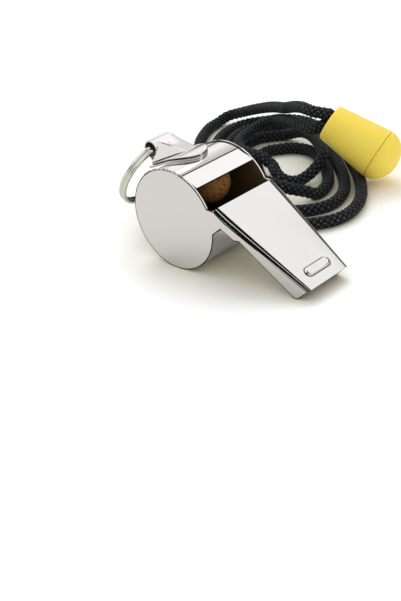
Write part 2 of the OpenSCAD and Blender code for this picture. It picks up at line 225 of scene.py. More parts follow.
def addGrain(tree, vector, **values):
    node = addNode(tree, "ShaderNodeGroup", node_tree=grainEffect)
    feed(tree, vector, node.inputs["Vector"])
    for label, value in values.items():
        node.inputs[label].default_value = value
    return node


def addBump(tree, height, strength, distance, shader):
    bump = addNode(tree, "ShaderNodeBump", {"Height": height, "Strength": strength, "Distance": distance})
    tree.links.new(bump.outputs[0], shader.inputs["Normal"])
    return bump


def addMix(tree, share, first, second):
    mix = addNode(tree, "ShaderNodeMix", data_type="RGBA")
    feed(tree, share, mix.inputs[0])
    feed(tree, first, mix.inputs[6])
    feed(tree, second, mix.inputs[7])
    return mix.outputs[2]


metalLook = {
    "sheet": {"bright": (0.87, 0.86, 0.845, 1), "dull": (0.82, 0.805, 0.785, 1), "low": 0.05, "high": 0.1,
              "size": 1500.0, "smudge": 90.0, "bump": 0.015, "stretch": (0.25, 1, 1)},
    # painted shade: the dark brown inner look stands in for the shade inside the chamber, in the eye's bore and
    # under the bail's flap
    "inner": {"bright": (0.1, 0.06, 0.022, 1), "dull": (0.06, 0.034, 0.012, 1), "low": 0.6, "high": 0.8,
              "size": 1500.0, "smudge": 240.0, "bump": 0.05, "stretch": (1, 1, 1), "metal": 0.15},
    # painted shade: the near-black edge look draws dark lines of shade on bevelled edges, the crimp ring, the
    # notch walls, the lip fold, the grip's foot and the bail's edges and crease
    "edge": {"bright": (0.075, 0.07, 0.06, 1), "dull": (0.045, 0.042, 0.036, 1), "low": 0.15, "high": 0.3,
             "size": 1500.0, "smudge": 240.0, "bump": 0.02, "stretch": (1, 1, 1)},
    "bail": {"bright": (0.86, 0.845, 0.835, 1), "dull": (0.76, 0.725, 0.71, 1), "low": 0.06, "high": 0.16,
             "size": 1800.0, "smudge": 210.0, "bump": 0.04, "stretch": (1, 1, 1)},
    "solder": {"bright": (0.86, 0.84, 0.82, 1), "dull": (0.7, 0.68, 0.66, 1), "low": 0.5, "high": 0.7,
               "size": 1200.0, "smudge": 300.0, "bump": 0.1, "stretch": (1, 1, 1)},
    "wire": {"bright": (0.88, 0.87, 0.8, 1), "dull": (0.72, 0.71, 0.62, 1), "low": 0.06, "high": 0.18,
             "size": 2600.0, "smudge": 420.0, "bump": 0.04, "stretch": (1, 1, 1)},
}
metalDepth = 0.0002  # m, how deep the grain of every metal goes


def makeMetal(name, look):
    material, tree, shader = addMaterial(name)
    grain = addGrain(tree, objectPoint(tree, look["stretch"]), Size=look["size"], Smudge=look["smudge"],
                     Low=look["low"], High=look["high"])
    colour = addMix(tree, grain.outputs["Smudge"], look["bright"], look["dull"])
    tree.links.new(colour, shader.inputs["Base Color"])
    tree.links.new(grain.outputs["Roughness"], shader.inputs["Roughness"])
    shader.inputs["Metallic"].default_value = look.get("metal", 1.0)
    addBump(tree, grain.outputs["Height"], look["bump"], metalDepth, shader)
    return material


nickelSheet = makeMetal("nickelSheet", metalLook["sheet"])
innerShadeSheet = makeMetal("innerShadeSheet", metalLook["inner"])
shadeLineSheet = makeMetal("shadeLineSheet", metalLook["edge"])
nickelBail = makeMetal("nickelBail", metalLook["bail"])
dullSolder = makeMetal("dullSolder", metalLook["solder"])
ringSteel = makeMetal("ringSteel", metalLook["wire"])

corkLook = {"pale": (0.34, 0.15, 0.04, 1), "dark": (0.05, 0.02, 0.007, 1), "cells": 3000.0, "grain": 2200.0,
            "detail": 5.0, "from": 0.42, "to": 0.62, "paleShare": 0.6, "rough": 0.85, "gloss": 0.2, "bump": 0.6,
            "depth": 0.0003}


def makeCork(look):
    material, tree, shader = addMaterial("corkGrain")
    point = objectPoint(tree)
    cells = addNode(tree, "ShaderNodeTexVoronoi", {"Vector": point, "Scale": look["cells"]})
    grain = addNode(tree, "ShaderNodeTexNoise", {"Vector": point, "Scale": look["grain"],
                                                 "Detail": look["detail"]})
    share = addNode(tree, "ShaderNodeMapRange", {"Value": grain.outputs["Fac"], "From Min": look["from"],
                                                 "From Max": look["to"]})
    speck = addMix(tree, share.outputs[0], look["pale"], look["dark"])
    dotted = addMix(tree, calc(tree, "MULTIPLY", cells.outputs["Distance"], look["paleShare"]), speck,
                    look["pale"])
    tree.links.new(dotted, shader.inputs["Base Color"])
    shader.inputs["Roughness"].default_value = look["rough"]
    shader.inputs["Specular IOR Level"].default_value = look["gloss"]
    addBump(tree, grain.outputs["Fac"], look["bump"], look["depth"], shader)
    return material


corkGrain = makeCork(corkLook)

braidLook = {"yarn": (0.002, 0.0024, 0.003, 1), "paintedShine": (0.55, 0.62, 0.66, 1), "filaments": 5.0,
             "roughLow": 0.36, "roughHigh": 0.6, "size": 2600.0, "smudge": 300.0, "shineFalloff": 3.1, "gloss": 0.14,
             "sheen": 0.02, "sheenRough": 0.4, "waves": 0.3, "bump": 0.5, "depth": 0.0001}


def makeBraidCloth(look):
    material, tree, shader = addMaterial("blackBraid")
    uv = addNode(tree, "ShaderNodeUVMap", uv_map="UVMap")
    split = addNode(tree, "ShaderNodeSeparateXYZ", {"Vector": uv.outputs[0]})
    waves = calc(tree, "SINE", calc(tree, "MULTIPLY", split.outputs[0], look["filaments"] * 2 * math.pi))
    grain = addGrain(tree, objectPoint(tree), Size=look["size"], Smudge=look["smudge"], Low=look["roughLow"],
                     High=look["roughHigh"])
    # painted highlight: the yarns' crowns take the pale shine colour, narrowed by the falloff power, standing in
    # for light on the braid
    crown = calc(tree, "MULTIPLY", split.outputs[1], grain.outputs["Height"])
    lit = calc(tree, "POWER", crown, look["shineFalloff"])
    tree.links.new(addMix(tree, lit, look["yarn"], look["paintedShine"]), shader.inputs["Base Color"])
    tree.links.new(grain.outputs["Roughness"], shader.inputs["Roughness"])
    shader.inputs["Specular IOR Level"].default_value = look["gloss"]
    shader.inputs["Sheen Weight"].default_value = look["sheen"]
    shader.inputs["Sheen Roughness"].default_value = look["sheenRough"]
    height = calc(tree, "ADD", calc(tree, "MULTIPLY", waves, look["waves"]), grain.outputs["Height"])
    addBump(tree, height, look["bump"], look["depth"], shader)
    return material


blackBraid = makeBraidCloth(braidLook)

shellLook = {"bright": (1.0, 0.73, 0.13, 1), "dull": (0.97, 0.63, 0.07, 1), "low": 0.42, "high": 0.55,
             "size": 2200.0, "smudge": 120.0, "gloss": 0.3, "soft": 0.4, "softScale": 0.004,
             "softReach": (1.0, 0.4, 0.08), "bump": 0.12, "depth": 0.0001}


def makePlastic(name, look):
    material, tree, shader = addMaterial(name)
    grain = addGrain(tree, objectPoint(tree), Size=look["size"], Smudge=look["smudge"], Low=look["low"],
                     High=look["high"])
    tree.links.new(addMix(tree, grain.outputs["Smudge"], look["bright"], look["dull"]),
                   shader.inputs["Base Color"])
    tree.links.new(grain.outputs["Roughness"], shader.inputs["Roughness"])
    shader.inputs["Specular IOR Level"].default_value = look["gloss"]
    shader.inputs["Subsurface Weight"].default_value = look["soft"]
    shader.inputs["Subsurface Scale"].default_value = look["softScale"]
    shader.inputs["Subsurface Radius"].default_value = look["softReach"]
    addBump(tree, grain.outputs["Height"], look["bump"], look["depth"], shader)
    return material


yellowShell = makePlastic("yellowShell", shellLook)
print("materials made")

# The lanyard's line, with the same points as the source
bell = {"mouthR": 4.5, "seamR": 6.3, "long": 14.0, "wall": 1.2, "bore": 3.2, "domeH": 5.4, "collar": 3.0,
        "pitch": 31.1, "yaw": 16.3, "lift": 1.5, "seamX": 10.9, "seamY": 50.1, "seamGap": 0.1, "slack": 0.08,
        "rounded": 0.5, "edge": 0.12, "lip": 1.2, "swell": 0.03, "sides": 72}
cord = {"d": 2.9, "split": 0.56, "into": 4.0, "out": 1.0, "lift": 0.05, "step": 0.32}


def bellAxes(b):
    pitch, yaw = math.radians(b["pitch"]), math.radians(b["yaw"])
    seam = np.array([b["seamX"], b["seamY"],
                     math.hypot(b["seamR"] * math.cos(pitch), b["domeH"] * math.sin(pitch)) + b["lift"]])
    way = np.array([math.cos(pitch) * math.cos(yaw), math.cos(pitch) * math.sin(yaw), -math.sin(pitch)])
    up = np.array([math.sin(pitch) * math.cos(yaw), math.sin(pitch) * math.sin(yaw), math.cos(pitch)])
    return seam - b["long"] * way, way, up


bellMouth, bellWay, bellUp = bellAxes(bell)
arcRoute = [
    (-5, 45.9, 17), (-9.5, 47.6, 16.7), (-15, 51, 14.9), (-21, 54.5, 12.5), (-27.5, 58, 10.5),
    (-33, 61, 8.5), (-38.5, 63, 6.5), (-42.5, 64, 5), (-46.5, 64.5, 3.5), (-49.5, 63, 2.5),
    (-50.5, 60, 1.5), (-49.5, 55, 1.5), (-46, 48, 1.5), (-41, 41, 1.5), (-36, 32, 1.5), (-31, 23, 1.5),
    (-27.5, 16, 2), (-26, 11, 4), (-24.6, 8, 6.8), (-22.5, 5.6, 10.2), (-19.8, 4.1, 12.2), (-17, 4, 11.5),
    (-15.5, 5, 8.5), (-16, 7, 5), (-18, 11, 2.5), (-21, 17, 1.5), (-25, 25, 1.5), (-29, 32, 1.5),
    (-32.5, 38, 1.5)]
endRoute = [
    (-17, 39.5, 5), (-20.5, 39.5, 5.2), (-24, 40, 5.2), (-27, 42.3, 5.2), (-29.5, 46, 5.2),
    (-30.7, 50.5, 5.2), (-30.5, 55, 5.8), (-27, 57, 7.3), (-21, 54.5, 9.2), (-15, 51, 10.7),
    (-9.3, 47.5, 11.7), (-5.4, 45.9, 12.3)]
loops = {
    "centre": (-12, 43), "turn": -42, "reach": 36.5, "start": 0.27, "square": 0.75, "perLoop": 24,
    "cross": 1.45, "climb": 15,
    "share": [0.485, 1, 0.45, 0.925, 0.39, 0.88, 0.355, 0.715, 0.195, 0.385, 0.26, 0.505, 0.297, 0.66,
              0.25, 0.23, 0.1],
    "humps": [(10.8, 12.1), (13.2, 14.9)],
}


def loopsAt(t):
    share, reach, last = loops["share"], loops["reach"], len(loops["share"]) - 1
    quarter = min(int(t), last - 1)
    angle = math.radians(90 * (t - quarter))
    bow = [max(v, 0) ** loops["square"] for v in (math.cos(angle), math.sin(angle))]
    start, stop = share[quarter] * reach * bow[0], share[quarter + 1] * reach * bow[1]
    left, front = [(-stop, -start), (-start, stop), (stop, start), (start, -stop)][quarter % 4]
    turn = math.radians(loops["turn"])
    hump = loops["cross"] * cord["d"]
    height = cord["d"] / 2 + cord["lift"]
    for first, final in loops["humps"]:
        if first < t < final:
            height += hump * math.sin(math.pi * (t - first) / (final - first))
    if t > loops["climb"]:
        height += hump / 2 * (t - loops["climb"])
    return (loops["centre"][0] + left * math.cos(turn) - front * math.sin(turn),
            loops["centre"][1] + left * math.sin(turn) + front * math.cos(turn), height)


def lanyardLine():
    split = cord["split"] * cord["d"]
    upper, lower = bellMouth + split * bellUp, bellMouth - split * bellUp
    last = len(loops["share"]) - 1
    count = int((last - loops["start"]) / 4 * loops["perLoop"])
    turns = [loopsAt(min(last, loops["start"] + i * 4 / loops["perLoop"])) for i in range(count + 1)]
    points = [upper + cord["into"] * bellWay, upper, upper - cord["out"] * bellWay] + arcRoute + turns
    points += endRoute + [lower - cord["out"] * bellWay, lower, lower + cord["into"] * bellWay]
    return smoothLine(points, cord["step"])


# How the yarns bulge: their height falls off by crown, and sunk is the height that stays on the cord's surface
braidShape = {"crown": 0.35, "sunk": 0.75, "offset": 4000.0}


def buildBraidTree(shape):
    tree, given, output = addTree("braidOnLine", [
        ("Cord Diameter", "Float"), ("Strands", "Float"), ("Pitch", "Float"), ("Relief", "Float"),
        ("Sides", "Int"), ("Material", "Material")])
    line = addNode(tree, "GeometryNodeMeshToCurve", {"Mesh": given.outputs["Geometry"]})
    run = addNode(tree, "GeometryNodeSplineParameter")
    along = addNode(tree, "GeometryNodeCaptureAttribute", {"Geometry": line.outputs[0]})
    along.capture_items.new("FLOAT", "along")
    tree.links.new(run.outputs["Length"], along.inputs[1])
    radius = calc(tree, "DIVIDE", given.outputs["Cord Diameter"], 2.0)
    profile = addNode(tree, "GeometryNodeCurvePrimitiveCircle",
                      {"Resolution": given.outputs["Sides"], "Radius": radius})
    around = addNode(tree, "GeometryNodeCaptureAttribute", {"Geometry": profile.outputs[0]})
    around.capture_items.new("FLOAT", "around")
    lap = addNode(tree, "GeometryNodeSplineParameter")
    tree.links.new(lap.outputs["Factor"], around.inputs[1])
    tube = addNode(tree, "GeometryNodeCurveToMesh", {"Curve": along.outputs[0],
                                                     "Profile Curve": around.outputs[0], "Fill Caps": True})
    lapped = calc(tree, "MULTIPLY", around.outputs[1], given.outputs["Strands"])
    gone = calc(tree, "MULTIPLY", calc(tree, "DIVIDE", along.outputs[1], given.outputs["Pitch"]),
                given.outputs["Strands"])
    right = calc(tree, "ADD", lapped, gone)
    left = calc(tree, "ADD", calc(tree, "SUBTRACT", lapped, gone), shape["offset"])
    cells = calc(tree, "ADD", calc(tree, "FLOOR", right), calc(tree, "FLOOR", left))
    over = calc(tree, "GREATER_THAN", calc(tree, "PINGPONG", cells, 1.0), 0.5)
    rightBow = calc(tree, "SINE", calc(tree, "MULTIPLY", calc(tree, "FRACT", right), math.pi))
    leftBow = calc(tree, "SINE", calc(tree, "MULTIPLY", calc(tree, "FRACT", left), math.pi))
    rightTop = calc(tree, "MULTIPLY", rightBow, calc(tree, "POWER", leftBow, shape["crown"]))
    leftTop = calc(tree, "MULTIPLY", leftBow, calc(tree, "POWER", rightBow, shape["crown"]))
    height = calc(tree, "ADD", calc(tree, "MULTIPLY", over, rightTop),
                  calc(tree, "MULTIPLY", calc(tree, "SUBTRACT", 1.0, over), leftTop))
    yarn = calc(tree, "ADD", calc(tree, "MULTIPLY", over, calc(tree, "FRACT", right)),
                calc(tree, "MULTIPLY", calc(tree, "SUBTRACT", 1.0, over), calc(tree, "FRACT", left)))
    lift = calc(tree, "MULTIPLY", calc(tree, "SUBTRACT", height, shape["sunk"]), given.outputs["Relief"])
    normal = addNode(tree, "GeometryNodeInputNormal")
    push = addNode(tree, "ShaderNodeVectorMath", {0: normal.outputs[0]}, operation="SCALE")
    tree.links.new(lift, push.inputs["Scale"])
    raised = addNode(tree, "GeometryNodeSetPosition", {"Geometry": tube.outputs[0], "Offset": push.outputs[0]})
    pair = addNode(tree, "ShaderNodeCombineXYZ", {"X": yarn, "Y": height})
    kept = addNode(tree, "GeometryNodeStoreNamedAttribute",
                   {"Geometry": raised.outputs[0], "Name": "UVMap", "Value": pair.outputs[0]},
                   data_type="FLOAT2", domain="CORNER")
    shaded = addNode(tree, "GeometryNodeSetShadeSmooth", {"Geometry": kept.outputs[0]})
    finishTree(tree, shaded.outputs[0], output, given.outputs["Material"])
    return tree


braidTree = buildBraidTree(braidShape)
braid = {"Strands": 6.0, "Pitch": 8.8 * mm, "Relief": 0.44 * mm, "Sides": 36}


def addLanyard():
    line = lanyardLine()
    path = [place(p) for p in line]
    values = dict(braid, **{"Cord Diameter": cord["d"] * mm, "Material": blackBraid})
    lanyard = grow("lanyard", lineMesh("lanyardLine", path), braidTree, values)
    long = float(np.linalg.norm(np.diff(line, axis=0), axis=1).sum())
    print("lanyard length", round(long, 1), "mm,", len(lanyard.data.polygons), "faces")
    return lanyard, path, long * mm


lanyard, lanyardPath, lanyardLong = addLanyard()

knot = {"ring": 2.45, "z": 6.0, "turns": 2.0, "rise": 2.9, "points": 60, "snug": 0.97}


def onBell(x, y, z):
    side = np.cross(bellUp, bellWay)
    return bellMouth + x * side + y * bellUp + z * bellWay


def addKnot():
    points = []
    for i in range(knot["points"] + 1):
        share = i / knot["points"]
        angle = 2 * math.pi * knot["turns"] * share
        sink = knot["z"] + knot["rise"] * (share - 0.5)
        points.append(onBell(knot["ring"] * math.cos(angle), knot["ring"] * math.sin(angle), sink))
    path = [place(p) for p in smoothLine(points, cord["step"])]
    values = dict(braid, **{"Cord Diameter": knot["snug"] * cord["d"] * mm, "Material": blackBraid})
    return grow("hiddenKnot", lineMesh("knotLine", path), braidTree, values)


hiddenKnot = addKnot()
print("lanyard braided")


# The yellow cord end: a turned bell and its domed lid
def turnProfile(name, profile, sides, material):
    mesh = bpy.data.meshes.new(name)
    bm = bmesh.new()
    rows = []
    for k in range(sides):
        angle = 2 * math.pi * k / sides
        rows.append([bm.verts.new(place(onBell(r * math.cos(angle), r * math.sin(angle), z)))
                     for r, z in profile])
    count = len(profile)
    for k in range(sides):
        for i in range(count):
            a, b = rows[k], rows[(k + 1) % sides]
            bm.faces.new((a[i], b[i], b[(i + 1) % count], a[(i + 1) % count]))
    bmesh.ops.remove_doubles(bm, verts=bm.verts, dist=1e-7)
    bmesh.ops.recalc_face_normals(bm, faces=bm.faces)
    for face in bm.faces:
        face.smooth = True
    bm.to_mesh(mesh)
    bm.free()
    mesh.materials.append(material)
    piece = bpy.data.objects.new(name, mesh)
    scene.collection.objects.link(piece)
    return piece


def arcPoints(centre, radius, start, stop, count):
    return [(centre[0] + radius * math.cos(math.radians(start + (stop - start) * i / count)),
             centre[1] + radius * math.sin(math.radians(start + (stop - start) * i / count)))
            for i in range(count + 1)]


def bellR(z):
    return bell["mouthR"] + (bell["seamR"] - bell["mouthR"]) * z / bell["long"]


def addBell():
    rounded, edge, lip = bell["rounded"], bell["edge"], bell["lip"]
    socketR, socketZ = bell["seamR"] - bell["wall"], bell["long"] - bell["collar"] - bell["seamGap"]
    mouth = arcPoints((bell["mouthR"] - rounded, rounded), rounded, 262, 352, 8)
    wall = [(bellR(z) + bell["swell"] * math.sin(math.pi * z / bell["long"]), z) for z in np.linspace(1, 13.6, 12)]
    seam = arcPoints((bell["seamR"] - edge, bell["long"] - edge), edge, 0, 90, 4)
    inside = [(socketR, bell["long"]), (socketR, socketZ), (bellR(socketZ) - bell["wall"], socketZ),
              (bellR(lip) - bell["wall"], lip), (bell["bore"], lip), (bell["bore"], 0.15)]
    inside += [(bell["bore"] + 0.15, 0.01)]
    return turnProfile("cordEndShell", mouth + wall + seam + inside, bell["sides"], yellowShell)


def addLid():
    edge, thick = bell["edge"], bell["wall"]
    base = bell["long"] + bell["seamGap"]
    high = (bell["domeH"] - bell["seamGap"]) / bell["seamR"]
    collarR = bell["seamR"] - bell["wall"] - bell["slack"]
    dome = [(bell["seamR"] * math.cos(a), base + bell["seamR"] * high * math.sin(a))
            for a in np.linspace(0.06, math.pi / 2, 20)]
    hollow = [((bell["seamR"] - thick) * math.cos(a), base + (bell["seamR"] - thick) * high * math.sin(a))
              for a in np.linspace(math.pi / 2, 0.25, 14)]
    foot = base - bell["collar"]
    collar = [(collarR - thick, base), (collarR - thick, foot), (collarR, foot), (collarR, base),
              (bell["seamR"] - edge, base)]
    dome[-1] = (0.0, dome[-1][1])
    hollow[0] = (0.0, hollow[0][1])
    return turnProfile("cordEndDome", dome + hollow + collar, bell["sides"], yellowShell)


cordEndShell = addBell()
cordEndDome = addLid()
print("cord end turned")


# Sheet metal, drawn in the whistle's own axes: u along the mouthpiece, v up from the drum's axis
drum = {"radius": 11.5, "rim": 0.25, "sheet": 0.5, "half": 9.5, "lip": 104.0, "wall": 29.6, "round": 0.1,
        "crimpShade": 0.26, "fold": 1.1, "dip": 0.12, "facets": 90, "sharp": 6.0}
mouth = {"long": 31.15, "top": 11.3, "windowRear": 1.6, "windowFront": 7.6, "shoulder": 0.65, "inset": 1.43,
         "tipInset": 0.75, "tipWide": 13.0, "corner": 1.2, "deep": 3.22, "belly": 8.6, "rake": 14.0, "slit": 0.75,
         "notch": 2.9, "notchLean": 0.31, "web": 3.6, "webFall": 0.18, "jog": 1.1, "jogLean": 0.3, "wrap": 0.64,
         "shelfBack": 1.6, "shelfHigh": 0.852, "bendSteps": 26,
         "bend": [(0, 9), (0.28, 16), (0.3, 17.5), (0.4, 22), (0.42, 24), (0.88, 66), (1, 90)]}
# The tooth grip's profile: how far inside its outline, and how high above the plate
grip = {"long": 7.6, "wide": 2.2, "back": 3.5, "footRows": 4,
        "profile": [(-0.2, -0.1), (-0.16, 0.0), (-0.05, 0.03), (0.03, 0.14), (0.09, 0.29), (0.18, 0.4),
                    (0.3, 0.46), (0.42, 0.48), (0.5, 0.5), (0.62, 0.5)]}
# Bevelled edges of the stamped sheets, angles in degrees
edges = {"segments": 3, "from": 32.0, "weight": 60, "sharp": 38.0, "fine": 0.06}
# Material slots of a sheet: its own metal, painted shade on its hidden side, painted shade lines on its cut edges,
# seams and creases, and the dull solder
slots = {"inside": 1, "edge": 2, "solder": 3}


def tanOf(degrees):
    return math.tan(math.radians(degrees))


def onCircle(radius, degrees, centre=(0.0, 0.0)):
    turn = math.radians(degrees)
    return centre[0] + radius * math.cos(turn), centre[1] + radius * math.sin(turn)


def arc(radius, start, stop, count, centre=(0.0, 0.0)):
    return [onCircle(radius, start + (stop - start) * i / count, centre) for i in range(count + 1)]


def mouthPlan(d, m):
    cornerV = m["top"] - m["deep"]
    foot = onCircle(d["radius"], d["wall"])
    bellyStart = onCircle(m["corner"], -90 - m["belly"], (m["long"], cornerV))
    faceStart = onCircle(m["corner"], -m["rake"], (m["long"], cornerV))
    tip = faceStart[0] + (m["top"] - faceStart[1]) * tanOf(m["rake"])
    fold = foot[0] + m["notchLean"] * m["notch"]
    return {"cornerV": cornerV, "foot": foot, "bellyStart": bellyStart, "tip": tip, "fold": fold,
            "notchV": foot[1] + m["notch"], "sideTop": m["top"] - m["shoulder"],
            "taper": (d["half"] - m["tipWide"] / 2) / (tip - fold), "bend": fold + m["web"] + m["jog"]}


plan = mouthPlan(drum, mouth)


def bellyV(u):
    return plan["bellyStart"][1] + (plan["bellyStart"][0] - u) * tanOf(mouth["belly"])


def sideY(u):
    return drum["half"] - max(u - plan["fold"], 0) * plan["taper"]


def topY(u):
    share = (u - mouth["windowFront"]) / (plan["tip"] - mouth["windowFront"])
    back = drum["half"] - mouth["inset"]
    return back + (mouth["tipWide"] / 2 - mouth["tipInset"] - back) * share


def addSlab(bm, outline, low, high):
    near, far = ([bm.verts.new((u, y, v)) for u, v in outline] for y in (low, high))
    bm.faces.new(near)
    bm.faces.new(far[::-1])
    for i in range(len(outline)):
        k = (i + 1) % len(outline)
        bm.faces.new((near[k], near[i], far[i], far[k]))


def addLoft(bm, sections, marked=(), slot=slots["edge"]):
    rows = [[bm.verts.new(point) for point in section] for section in sections]
    count = len(rows[0])
    for first, second in zip(rows, rows[1:]):
        for i in range(count):
            k = (i + 1) % count
            face = bm.faces.new((first[i], first[k], second[k], second[i]))
            face.material_index = slot if i in marked else 0
    bm.faces.new(rows[0][::-1])
    bm.faces.new(rows[-1])


def addBevel(piece, roundOff, segments):
    bevel = piece.modifiers.new("edge", "BEVEL")
    bevel.width = roundOff * mm
    bevel.segments = segments
    bevel.limit_method = "ANGLE"
    bevel.angle_limit = math.radians(edges["from"])
    weighted = piece.modifiers.new("flat", "WEIGHTED_NORMAL")
    weighted.weight = edges["weight"]
    return bevel, weighted


def finishSheet(name, bm, material, roundOff=0.0, isInShade=None, sharp=edges["sharp"]):
    bm.normal_update()
    bmesh.ops.recalc_face_normals(bm, faces=bm.faces)
    for face in bm.faces:
        face.smooth = True
        # painted shade: faces picked by the given test get slot 1, the dark inner look
        if isInShade and isInShade(face.calc_center_median(), face.normal):
            face.material_index = slots["inside"]
    for vert in bm.verts:
        vert.co = onBody(*vert.co)
    mesh = bpy.data.meshes.new(name)
    bm.to_mesh(mesh)
    bm.free()
    for metal in (material, innerShadeSheet, shadeLineSheet, dullSolder):
        mesh.materials.append(metal)
    mesh.set_sharp_from_angle(angle=math.radians(sharp))
    piece = bpy.data.objects.new(name, mesh)
    scene.collection.objects.link(piece)
    if roundOff:
        bevel, weighted = addBevel(piece, roundOff, edges["segments"])
        # painted shade: the bevelled edges take the near-black edge look, drawn as dark outlines
        bevel.material = slots["edge"]
        bevel.use_clamp_overlap = False
        weighted.keep_sharp = True
        return settle(piece)
    return piece


def addSidePlate(name, side):
    m, d = mouth, drum
    meet = math.degrees(math.atan2(d["radius"] * m["shelfHigh"], m["windowFront"] - m["shelfBack"]))
    outline = arc(d["radius"], meet, 360 + d["wall"], d["facets"] + 2)
    outline += [(plan["fold"], plan["notchV"]), (plan["fold"] + m["web"], plan["notchV"] - m["webFall"]),
                (plan["bend"] - m["jogLean"] * m["jog"], bellyV(plan["bend"]) - m["jogLean"]),
                (plan["bend"], bellyV(plan["bend"]))]
    outline += arc(m["corner"], -90 - m["belly"], -m["rake"], 18, (m["long"], plan["cornerV"]))
    outline += [(plan["tip"] - m["shoulder"] * tanOf(m["rake"]), plan["sideTop"]),
                (m["windowFront"] - 0.2, plan["sideTop"])]
    bm = bmesh.new()
    addSlab(bm, outline, -d["half"], -d["half"] + d["sheet"])
    bm.normal_update()
    outer = max(bm.faces, key=lambda face: (len(face.verts), -face.calc_center_median().y))
    # painted shade: a ring just inside the plate's rim takes the near-black edge look, a dark line of shade at the
    # crimp
    for face in bmesh.ops.inset_region(bm, faces=[outer], thickness=d["crimpShade"])["faces"]:
        face.material_index = slots["edge"]
    # painted shade: the notch's walls take the near-black edge look
    for face in bm.faces:
        spot = face.calc_center_median()
        inNotch = plan["foot"][0] - 0.1 < spot.x < plan["fold"] and plan["foot"][1] < spot.z < plan["notchV"]
        if inNotch and abs(face.normal.y) < 0.3:
            face.material_index = slots["edge"]
    every = bm.verts[:] + bm.edges[:] + bm.faces[:]
    bmesh.ops.bisect_plane(bm, geom=every, dist=1e-5, plane_co=(plan["fold"], 0, 0), plane_no=(1, 0, 0))
    for vert in bm.verts:
        vert.co.y += max(vert.co.x - plan["fold"], 0) * plan["taper"]
        vert.co.y *= side

    # painted shade: the plate's face towards the chamber takes the dark inner look
    def isInShade(middlePoint, normal):
        return normal.y * side > 0.9
    return finishSheet(name, bm, nickelSheet, d["round"], isInShade, d["sharp"])


def addDrumWrap():
    d, m = drum, mouth
    band, chamber = d["radius"] - d["rim"], d["radius"] - d["rim"] - d["sheet"]
    topU = plan["fold"] - 0.2 * d["sheet"]
    floorBackV = m["top"] - 2 * d["sheet"] - m["slit"]
    floorBackU = m["windowFront"] + 0.4 * d["sheet"]

    def floorV(u):
        share = (plan["bend"] - u) / (plan["bend"] - floorBackU)
        return bellyV(plan["bend"]) + (floorBackV - bellyV(plan["bend"])) * share
    outer = arc(band, 360 + d["wall"], d["lip"] + d["fold"], d["facets"])
    lipFoot = onCircle(band - d["dip"], d["lip"] + 0.5 * d["fold"])
    lipBack = onCircle(band, d["lip"])
    tipPoint = (m["windowRear"], d["radius"] + 0.3 * d["sheet"])
    inner = arc(chamber, d["lip"], 360 + d["wall"], d["facets"])
    outline = outer + [lipFoot, (lipBack[0], lipBack[1] - hair), tipPoint,
                       (tipPoint[0], tipPoint[1] - d["sheet"])] + inner
    outline += [(topU - d["sheet"], floorV(topU - d["sheet"])), (topU, floorV(topU))]
    bm = bmesh.new()
    inside = d["half"] - d["sheet"] - hair / 2
    addSlab(bm, outline, -inside, inside)

    # painted shade: the chamber's inside faces take the dark inner look
    def isInShade(middlePoint, normal):
        return math.hypot(middlePoint.x, middlePoint.z) < chamber + 0.1 and abs(normal.y) < 0.5
    # painted shade: the faces of the lip fold take the near-black edge look, drawn as a dark fold line
    for face in bm.faces:
        spot = face.calc_center_median()
        turn = math.degrees(math.atan2(spot.z, spot.x))
        if d["lip"] < turn < d["lip"] + d["fold"] and math.hypot(spot.x, spot.z) > band - d["dip"]:
            face.material_index = slots["edge"]
    return finishSheet("drumWrap", bm, nickelSheet, edges["fine"], isInShade, d["sharp"])


def bendAngles(stops, count):
    at, angles = zip(*stops)
    return np.radians(np.interp(np.linspace(0, 1, count), at, angles))


def shoulderShape(count=mouth["bendSteps"]):
    angles = bendAngles(mouth["bend"], count)
    run, drop = np.cumsum(np.cos(angles)), np.cumsum(np.sin(angles))
    return [(0.0, 0.0)] + [(x / run[-1], y / drop[-1]) for x, y in zip(run, drop)]


def coverSection(u):
    m, sheet = mouth, drum["sheet"]
    half, side = topY(u), sideY(u) + hair
    a = side - half
    b = m["wrap"] * a
    near = [(-half - a * x, m["top"] - b * y) for x, y in shoulderShape()][::-1]
    under = [(-half - (a - 2 * hair) * x + hair, m["top"] - sheet - (b - sheet) * y)
             for x, y in shoulderShape(8)][::-1]
    outer = near + [(-half + 0.05, m["top"]), (half - 0.05, m["top"])] + [(-y, v) for y, v in near[::-1]]
    inner = [(-y, v) for y, v in under] + under[::-1]
    run = (u - mouth["windowFront"]) / (plan["tip"] - mouth["windowFront"])
    return [(u - run * (m["top"] - v) * tanOf(m["rake"]), y, v) for y, v in outer + inner]


def stadium(long, wide, inset, count=12):
    reach, turnR = (long - wide) / 2, wide / 2 - inset
    return ([(x, y + reach) for x, y in arc(turnR, 0, 180, count)]
            + [(x, y - reach) for x, y in arc(turnR, 180, 360, count)])


def addMouthCover():
    bm = bmesh.new()
    stops = [mouth["windowFront"], plan["fold"]] + list(np.linspace(plan["fold"], plan["tip"], 7)[1:])
    addLoft(bm, [coverSection(u) for u in stops])
    at, foot = plan["tip"] - grip["back"], grip["footRows"]
    sections = [[(at + x, y, mouth["top"] + rise) for x, y in stadium(grip["long"], grip["wide"], inset)]
                for inset, rise in grip["profile"]]
    addLoft(bm, sections[:foot], marked=range(len(sections[0])))  # painted shade: the dark line round the grip's foot
    addLoft(bm, sections[foot - 1:])
    return finishSheet("mouthCover", bm, nickelSheet)


